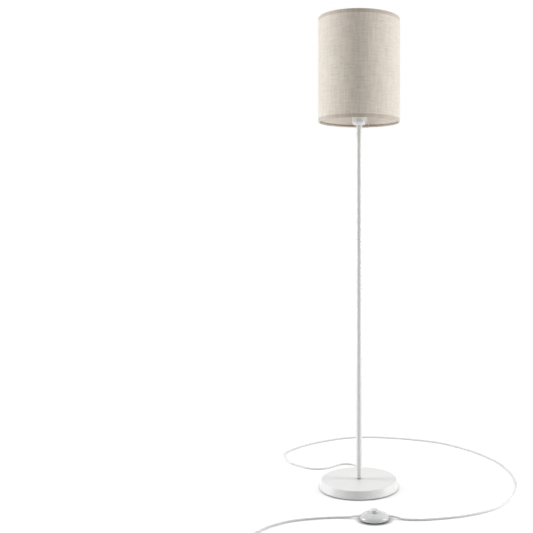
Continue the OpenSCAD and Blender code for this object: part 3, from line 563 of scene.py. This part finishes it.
fabric_low, fabric_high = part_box("shade_fabric")
wire_low, wire_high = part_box("top_wire")
WALL_R = fabric_high.x - CLOTH / 2              # out to the middle of the cloth
ROLL = (wire_high.z - wire_low.z + CLOTH) / 2
MIDDLE = (fabric_low.z + fabric_high.z) / 2
HALF_WALL = fabric_high.z - CLOTH / 2 - ROLL - MIDDLE
CUT_WIDTH = 2 * (HALF_WALL + ROLL * TUCK)
CUT_LENGTH = 2 * math.pi * WALL_R + LAP
print(f"a strip of {CUT_LENGTH * 1000:.0f} by {CUT_WIDTH * 1000:.0f} mm")

# %% [markdown]
# ## One profile, then a turn
#
# The lower half of the profile is the mirror image of the upper one, so only the upper half is
# built: a vertex where the wall meets the wire, spun round the wire, and an edge down to the
# middle. A layer on the vertices keeps each one's distance along the cloth, and every operator
# carries it on. It becomes the UV map afterwards, in metres, so that the threads keep their
# size on the wall and round the wire alike.

# %% The profile
ROLL_STEPS = 14
WALL_STEPS = 12

cloth = bmesh.new()
along = cloth.verts.layers.float.new("along")
top = cloth.verts.new((WALL_R, 0, MIDDLE + HALF_WALL))
top[along] = HALF_WALL
bmesh.ops.spin(cloth, geom=[top], cent=(WALL_R - ROLL, 0, top.co.z), axis=(0, 1, 0),
               angle=-TUCK, steps=ROLL_STEPS)
for i, vert in enumerate(cloth.verts):
    vert[along] += ROLL * TUCK * i / ROLL_STEPS
middle = cloth.verts.new((WALL_R, 0, MIDDLE))
wall = cloth.edges.new((top, middle))
bmesh.ops.subdivide_edges(cloth, edges=[wall], cuts=WALL_STEPS - 1)
upper_half = set(cloth.verts)
bmesh.ops.mirror(cloth, geom=cloth.verts[:] + cloth.edges[:], axis="Z", merge_dist=1e-6,
                 matrix=Matrix.Translation((0, 0, -MIDDLE)))
for vert in set(cloth.verts) - upper_half:
    vert[along] = -vert[along]
bmesh.ops.remove_doubles(cloth, verts=cloth.verts, dist=1e-5)
print(f"profile of {len(cloth.verts)} points, out to",
      [round(1000 * f(v[along] for v in cloth.verts), 1) for f in (min, max)], "mm")

# %% The turn, and the lap
ROUND_STEPS = 200
LAP_STARTS = math.radians(78)       # at the back, where no one looks
LAP_RAMP = 0.006                    # the last ply climbs over this length
LAP_LIFT = 1.1 * CLOTH              # to lie just clear of the ply below

around = cloth.verts.layers.float.new("around")
in_profile = len(cloth.verts)
bmesh.ops.rotate(cloth, verts=cloth.verts, cent=(0, 0, 0),
                 matrix=Matrix.Rotation(LAP_STARTS, 3, "Z"))
bmesh.ops.spin(cloth, geom=cloth.verts[:] + cloth.edges[:], cent=(0, 0, 0), axis=(0, 0, 1),
               angle=CUT_LENGTH / WALL_R, steps=ROUND_STEPS)
cloth.verts.index_update()
for vert in cloth.verts:
    vert[around] = CUT_LENGTH * (vert.index // in_profile) / ROUND_STEPS
cloth.normal_update()
outward = next(v for v in cloth.verts if abs(v[along]) < HALF_WALL / 2 and v.link_faces)
if outward.normal.dot(outward.co * Vector((1, 1, 0))) < 0:
    bmesh.ops.reverse_faces(cloth, faces=cloth.faces)
    cloth.normal_update()
for vert in cloth.verts:
    lift = eased((vert[around] - (CUT_LENGTH - LAP - LAP_RAMP)) / LAP_RAMP)
    vert.co += LAP_LIFT * lift * vert.normal
print(len(cloth.faces), "faces round the shade")

# %% A UV map in metres, and the finished strip


def new_piece(name, shape, body):
    """The object of a finished bmesh, on its body, with smooth faces and kept creases."""
    mesh = bpy.data.meshes.new(name)
    shape.to_mesh(mesh)
    shape.free()
    mesh.shade_smooth()
    mesh.set_sharp_from_angle(angle=math.radians(40))
    piece = bpy.data.objects.new(name, mesh)
    bpy.context.collection.objects.link(piece)
    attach(piece, body)
    return piece


threads = cloth.loops.layers.uv.new("threads")
for face in cloth.faces:
    for loop in face.loops:
        loop[threads].uv = (loop.vert[around], loop.vert[along])
shade_cloth = new_piece("shade_cloth", cloth, "root")
thickness = shade_cloth.modifiers.new("thickness", "SOLIDIFY")
thickness.thickness = CLOTH
thickness.offset = 0
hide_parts("shade_fabric")
print("cloth", tuple(round(v, 4) for v in shade_cloth.dimensions))

# %% [markdown]
# ## Linen look
#
# The cloth is a plain weave of uneven yarn: about sixteen threads to the centimetre. What one
# sees from a step away isn't the crossings but the yarn itself. Some stretches are thick and
# dark, mostly in the weft, which runs round the shade; some are pale; and here and there a bit
# of husk makes a brown knot. Each of these is one noise, drawn out along the thread. Near the
# top and bottom edge there is no liner behind the cloth, so a band there looks darker, with a
# pale line where the liner begins.

# %% Crossings of the threads
WARP_PITCH, WEFT_PITCH = 0.00062, 0.00068
WANDER = 0.0016             # how far a thread strays from its straight line

linen = Finish("linen_look", Sheen_Weight=0.6, Sheen_Roughness=0.5, Sheen_Tint=(0.85, 0.93, 1.0),
               Specular_IOR_Level=0.2)
on_cloth = linen.node("UVMap", {"uv_map": "threads"})
u = linen.node("SeparateXYZ", inputs={"Vector": on_cloth})
v = u.beside("Y")
strays = WANDER * linen.noise(0.012, detail=2, at=on_cloth)
warp = abs(((u + strays) * (math.pi / WARP_PITCH)).sine())
weft = abs(((v + strays) * (math.pi / WEFT_PITCH)).sine())
crossings = warp * weft
print(f"{0.01 / WARP_PITCH:.0f} by {0.01 / WEFT_PITCH:.0f} threads to the centimetre")

# %% Uneven yarn
warp_yarn = linen.noise(0.0010, detail=2, stretch=(1, 50, 1), at=on_cloth)
weft_yarn = linen.noise(0.0008, detail=2, stretch=(22, 1, 1), at=on_cloth)
warp_streaks = linen.noise(0.0042, detail=2, stretch=(1, 13, 1), at=on_cloth)
weft_streaks = linen.noise(0.0036, detail=2, stretch=(11, 1, 1), at=on_cloth)
cloudy = linen.noise(0.022, detail=3, stretch=(1, 1.6, 1), at=on_cloth)
weft_slubs = linen.noise(0.0012, detail=1, stretch=(13, 1, 1), at=on_cloth).rise(0.65, 0.71)
warp_slubs = linen.noise(0.0010, detail=1, stretch=(1, 7, 1), at=on_cloth).rise(0.69, 0.75)
where_husk = linen.noise(0.013, detail=1, at=on_cloth).rise(0.50, 0.60)
husks = linen.noise(0.0016, detail=2, stretch=(2, 1, 1), at=on_cloth).rise(0.70, 0.76) * where_husk
print("yarn, slubs and husks made")

# %% The bands at both edges
HEM = 0.0113                # the band's height
LINE = 0.0009               # and that of the pale line beside it
from_middle = abs(v)
hem_edge = HALF_WALL + ROLL * math.pi / 2 - HEM
hem = from_middle > hem_edge
hem_line = (from_middle > hem_edge - LINE) - hem
print(f"bands of {HEM * 1000} mm at the top and the bottom")

# %% The cloth's colour and relief
PALE, DEEP = (0.79, 0.72, 0.63), (0.60, 0.53, 0.445)
SLUB, HUSK = (0.33, 0.255, 0.185), (0.16, 0.105, 0.065)
BAND, PALE_LINE = (0.34, 0.255, 0.18), (0.80, 0.75, 0.68)

tone = (1.2 * warp_yarn + 0.4 * weft_yarn + 1.1 * warp_streaks + 1.1 * weft_streaks
        + 0.5 * cloudy - 0.2 * crossings)
yarn = linen.blend(tone.rise(1.45, 2.90), PALE, DEEP)
for mask, color in ((0.45 * weft_slubs, SLUB), (0.3 * warp_slubs, SLUB), (0.55 * husks, HUSK),
                    (0.40 * hem, BAND), (0.5 * hem_line, PALE_LINE)):
    yarn = linen.blend(mask, yarn, color)
linen.give(Base_Color=yarn, Roughness=0.80 + 0.12 * warp_yarn)
linen.relief(crossings + 0.8 * weft_yarn + 0.5 * warp_yarn + weft_slubs, 0.00018)
shade_cloth.data.materials.append(linen.material)
dressed.add("shade_fabric")
print("linen on", shade_cloth.name)

# %% [markdown]
# ## The liner
#
# Behind the cloth is a sheet of clear stiff plastic, glued on, so from inside one sees the
# cloth's back through a smooth satin film: the same beige, but even and a little pinker. It is
# painted paler than the cloth's front: partly the back's own colour, partly painted light that
# stands in for the studio light shining in through the shade.

# %% Film over the cloth's back
liner = Finish("shade_liner", Coat_Roughness=0.25, Specular_IOR_Level=0.5)
back_threads = liner.noise(0.0009, detail=2, stretch=(1, 1, 6))
# paler colour: partly painted light, for studio light shining in through the shade
liner.give(Base_Color=liner.blend(back_threads, (0.90, 0.835, 0.755), (0.82, 0.75, 0.67)),
           Roughness=0.34 + 0.12 * liner.noise(0.02, detail=2), Coat_Weight=0.25)
liner.relief(back_threads, 0.00002)
dress(liner, "shade_liner")

# %% [markdown]
# ## The spring under the button
#
# A pressure spring is a wire wound on a rod. Spinning a small circle round the axis, with a
# step upwards at each turn, draws it in one call. On the real switch it shortens when the
# button is pressed; here it is drawn at rest.

# %% Winding the spring
SPRING_WIRE = 0.001
SPRING_TURNS = 5.5
SPRING_STEPS = 18           # in one turn

spring_low, spring_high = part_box("switch_spring")
spring_axis = (spring_low + spring_high) / 2
spring_r = (spring_high.x - spring_low.x - SPRING_WIRE) / 2
rise = spring_high.z - spring_low.z - SPRING_WIRE
winding = bmesh.new()
bmesh.ops.create_circle(winding, segments=10, radius=SPRING_WIRE / 2)
bmesh.ops.transform(winding, verts=winding.verts, matrix=Matrix.Translation(
    (spring_axis.x + spring_r, spring_axis.y, spring_low.z + SPRING_WIRE / 2))
    @ Matrix.Rotation(math.radians(90), 4, "X"))
first_end = winding.edges[:]
turned = bmesh.ops.spin(winding, geom=winding.verts[:] + winding.edges[:],
                        cent=spring_axis, axis=(0, 0, 1), angle=2 * math.pi * SPRING_TURNS,
                        dvec=(0, 0, rise / (SPRING_TURNS * SPRING_STEPS)),
                        steps=int(SPRING_TURNS * SPRING_STEPS))
last_end = [part for part in turned["geom_last"] if isinstance(part, bmesh.types.BMEdge)]
for end in (first_end, last_end):
    bmesh.ops.edgeloop_fill(winding, edges=end)
bmesh.ops.recalc_face_normals(winding, faces=winding.faces)
spring = new_piece("button_spring", winding, "root")
spring.data.materials.append(spring_steel.material)
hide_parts("switch_spring")
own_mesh(spring)
print(f"spring {SPRING_TURNS} turns, {1000 * (spring_high.z - spring_low.z):.1f} mm high")

# %% [markdown]
# ## The studio
#
# The lamp stands on white in front of white. Two tall soft boxes stand exactly left and right,
# turned three degrees, so a round body is bright at both edges and has one narrow dark stripe
# a little left of its middle. The room in front gives back little.

# %% Soft boxes
SIDE_LIGHT = 6.3
BOX_AWAY, BOX_HEIGHT = 1.9, 1.0
BOX_SIZE = (0.8, 2.2)
TURNED = math.radians(3)


def soft_box(name, place, aim, size, brightness):
    """A rectangular lamp that faces a point. Its brightness is that of a white wall that
    much times overexposed."""
    light = bpy.data.lights.new(name, "AREA")
    light.shape = "RECTANGLE"
    light.size, light.size_y = size
    light.energy = brightness * math.pi * size[0] * size[1]
    box = bpy.data.objects.new(name, light)
    box.location = place
    box.rotation_euler = (Vector(aim) - Vector(place)).to_track_quat("-Z", "Y").to_euler()
    box.visible_camera = False
    bpy.context.collection.objects.link(box)


for side, name in ((-1, "box_left"), (1, "box_right")):
    place = (side * BOX_AWAY * math.cos(TURNED), -side * BOX_AWAY * math.sin(TURNED), BOX_HEIGHT)
    soft_box(name, place, (0, 0, BOX_HEIGHT), BOX_SIZE, SIDE_LIGHT)
print("two soft boxes")

# %% [markdown]
# ## Floor and surroundings
#
# A sweep of white paper fills the photograph's view, and it is exposed so that it just turns
# white. The far paper gets less light, so it glows a little, more with its distance from the
# lamp. Beside the paper, and where it ends in front of the lamp, the room is an even light
# grey, so that a white lamp can be seen from every side.
#
# What lights the lamp is another matter: the wall behind the camera is dim, and the other
# walls are nearly white. The white and the grey above are there for the camera alone.
#
# Under the rims of the base and the switch lies a crevice, narrower than a pixel, that no light
# reaches. A painted shadow stands for it in the paper: a dark ring round each, darkest in front
# of the foot, that fades out over 9 mm round the base and 18 mm round the switch.

# %% The floor
FLOOR_SIZE = 12

ground = bmesh.new()
bmesh.ops.create_grid(ground, x_segments=1, y_segments=1, size=FLOOR_SIZE / 2)
floor_mesh = bpy.data.meshes.new("studio_floor")
ground.to_mesh(floor_mesh)
ground.free()
floor = bpy.data.objects.new("studio_floor", floor_mesh)
bpy.context.collection.objects.link(floor)
print("floor", FLOOR_SIZE, "m across")

# %% The painted shadow under a rim
paper = Finish("studio_paper", Roughness=0.9, Specular_IOR_Level=0.1, Emission_Strength=1.0)
on_floor = paper.node("TexCoord", output="Object")


def length(nodes, vector):
    """A vector's length."""
    return nodes.node("VectorMath", {"operation": "LENGTH"}, {0: vector}, output="Value")


def painted_contact_shadow(node, front, sides, fades):
    """Painted shadow round the foot of a round node: 1 far off, less near the foot, and back to 1
    over that many metres. It is painted darker in front than at the sides, where the box lights
    reach."""
    low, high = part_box(node)
    radius = (high.x - low.x) / 2
    apart = paper.node("VectorMath", {"operation": "SUBTRACT"},
                       {0: on_floor, 1: ((low.x + high.x) / 2, (low.y + high.y) / 2, 0)},
                       output="Vector")
    backward = paper.node("SeparateXYZ", inputs={"Vector": apart}).beside("Y")
    forward = (backward * (-1 / radius)).rise(0, 1)
    depth = sides + (front - sides) * forward
    return 1 - depth * (1 - length(paper, apart).rise(radius, radius + fades))


# painted shade on the floor: 1 in the open, less in the painted shadows round base and switch
painted_shade_factor = painted_contact_shadow("base_cover", 0.64, 0.14, 0.009) * painted_contact_shadow("switch_cover", 0.93, 0.3, 0.018)
print("dark lines under the base and the switch")

# %% Where the paper lies
LEFT_EDGE, RIGHT_EDGE = 0.48, 0.24      # how fast its edges spread from the eye
EDGE_FADE = 0.7                         # how softly it turns grey
PAPER_FRONT, PAPER_ENDS = 0.35, 1.0     # in front of the pole, still white and all grey


def between_edges(sideways, ahead, fades):
    """1 between the paper's edges, which spread with the distance ahead of the eye."""
    return ((sideways + LEFT_EDGE * ahead).rise(-fades, 0)
            * (RIGHT_EDGE * ahead - sideways).rise(-fades, 0))


sideways = paper.node("SeparateXYZ", inputs={"Vector": on_floor})
from_eye = sideways.beside("Y") + EYE_DISTANCE
on_paper = (between_edges(sideways, from_eye, EDGE_FADE)
            * from_eye.rise(EYE_DISTANCE - PAPER_ENDS, EYE_DISTANCE - PAPER_FRONT))
print("paper from", -PAPER_FRONT, "m to the horizon")

# %% What the camera sees of it, and the light it gives back
NEAR_GLOW, FAR_GLOW = 0.10, 0.6
GLOW_STARTS, GLOW_FULL = 0.5, 2.5
PAPER_WHITE, PAPER_BOUNCE = 0.9, 0.8
ROOM_GREY = 0.6

seen = paper.node("LightPath", output="Is Camera Ray")
far_off = length(paper, on_floor).rise(GLOW_STARTS, GLOW_FULL)
# the paper's glow and colour are both darkened by the painted shadows round the feet
paper_glow = painted_shade_factor * (NEAR_GLOW + (FAR_GLOW - NEAR_GLOW) * far_off)
glow = seen * (on_paper * (paper_glow - ROOM_GREY) + ROOM_GREY)
bright = seen * (PAPER_WHITE * painted_shade_factor * on_paper - PAPER_BOUNCE) + PAPER_BOUNCE
paper.give(Base_Color=paper.blend(bright, (0, 0, 0), (1, 1, 1)),
           Emission_Color=paper.blend(glow, (0, 0, 0), (1, 1, 1)))
floor.data.materials.append(paper.material)
print("paper", PAPER_WHITE, "and the room", ROOM_GREY)

# %% The white surroundings
FRONT_WALL, BACK_WALL = 0.43, 0.95
WALL_FADE = 0.3
SKY_FADE = 0.12

world = bpy.data.worlds.new("white_studio")
world.use_nodes = True
bpy.context.scene.world = world
walls = Nodes(world.node_tree)
direction = walls.node("TexCoord", output="Generated")
aside = walls.node("SeparateXYZ", inputs={"Vector": direction})
ahead = aside.beside("Y")
wall_light = FRONT_WALL + (BACK_WALL - FRONT_WALL) * ahead.rise(-WALL_FADE, WALL_FADE)
shown_wall = ROOM_GREY + (1 - ROOM_GREY) * between_edges(aside, ahead, SKY_FADE)
camera_sees = walls.node("LightPath", output="Is Camera Ray")
walls.feed(world.node_tree.nodes["Background"],
           {"Strength": wall_light + camera_sees * (shown_wall - wall_light),
            "Color": (1, 1, 1)})
bpy.context.scene.view_settings.view_transform = "Standard"
print("walls", BACK_WALL, "and in front", FRONT_WALL)

# %% Check and finish
LEAD_NODES = {"cord_to_switch", "cord_from_switch", "cord_coil", "cord_to_plug"}
bare = sorted(set(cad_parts) - dressed - LEAD_NODES)
print("nodes without a finish:", bare or "none")
bpy.context.view_layer.update()
